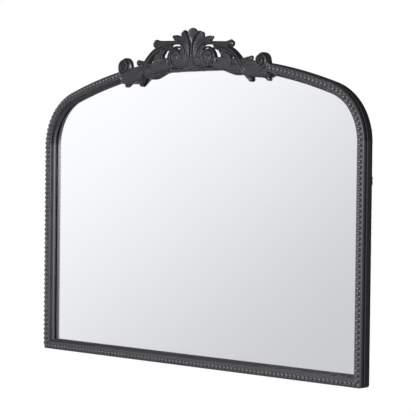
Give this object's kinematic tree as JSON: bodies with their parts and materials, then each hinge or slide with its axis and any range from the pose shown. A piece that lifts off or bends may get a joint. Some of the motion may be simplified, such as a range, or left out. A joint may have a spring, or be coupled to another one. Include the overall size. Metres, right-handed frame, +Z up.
{
  "type": "arched wall mirror",
  "caption": "Wide wall mirror with a low arched top, a beaded black frame and a cast scrollwork crown, hung on the wall by two swinging rings.",
  "frame": {"origin": "on the wall plane, below the mirror's middle, level with the frame's lower edge", "axes": "+X along the mirror's width, +Y into the wall so that the mirror faces -Y, +Z up"},
  "size_m": [1.016, 0.0515, 0.7978],
  "materials": {
    "frame_black": "satin black paint with a fine grain, rubbed a little grey on the high edges",
    "bead_black": "the same black paint over moulded beads",
    "crown_black": "the same black paint over cast resin",
    "silvered_glass": "clear float glass silvered on its back",
    "back_board": "bare brown fibreboard",
    "cork_pad": "soft setting pad",
    "beech": "plain beech",
    "zinc_steel": "zinc-plated pressed steel",
    "screw_steel": "zinc-plated screws",
    "bumper_rubber": "black rubber"
  },
  "bodies": {
    "frame": {"right_stile": "frame_black", "left_stile": "frame_black", "bottom_rail": "frame_black", "right_shoulder": "frame_black", "left_shoulder": "frame_black", "top_arch": "frame_black", "bead_strip_right": "bead_black", "bead_strip_left": "bead_black", "bead_strip_bottom": "bead_black", "bead_strip_arch_right": "bead_black", "bead_strip_arch_left": "bead_black", "crown": "crown_black", "mirror_glass": "silvered_glass", "backing_board": "back_board", "setting_blocks": "cork_pad", "joint_dowels": "beech", "mitre_splines": "beech", "corner_brace_right": "zinc_steel", "corner_brace_left": "zinc_steel", "joint_plates": "zinc_steel", "board_clips": "zinc_steel", "hanger_strap_right": "zinc_steel", "hanger_strap_left": "zinc_steel", "crown_screws": "screw_steel", "corner_brace_screws": "screw_steel", "joint_plate_screws": "screw_steel", "board_clip_screws": "screw_steel", "hanger_screws": "screw_steel", "wall_bumpers": "bumper_rubber"},
    "left_ring": {"d_ring_left": "zinc_steel"},
    "right_ring": {"d_ring_right": "zinc_steel"}
  },
  "joints": [
    {"name": "left_ring_swing", "type": "hinge", "parent": "frame", "child": "left_ring", "pos_m": [-0.4986, -0.0037, 0.4535], "axis": [1, 0, 0], "range_deg": [0, 180]},
    {"name": "right_ring_swing", "type": "hinge", "parent": "frame", "child": "right_ring", "pos_m": [0.4986, -0.0037, 0.4535], "axis": [1, 0, 0], "range_deg": [0, 180]}
  ]
}
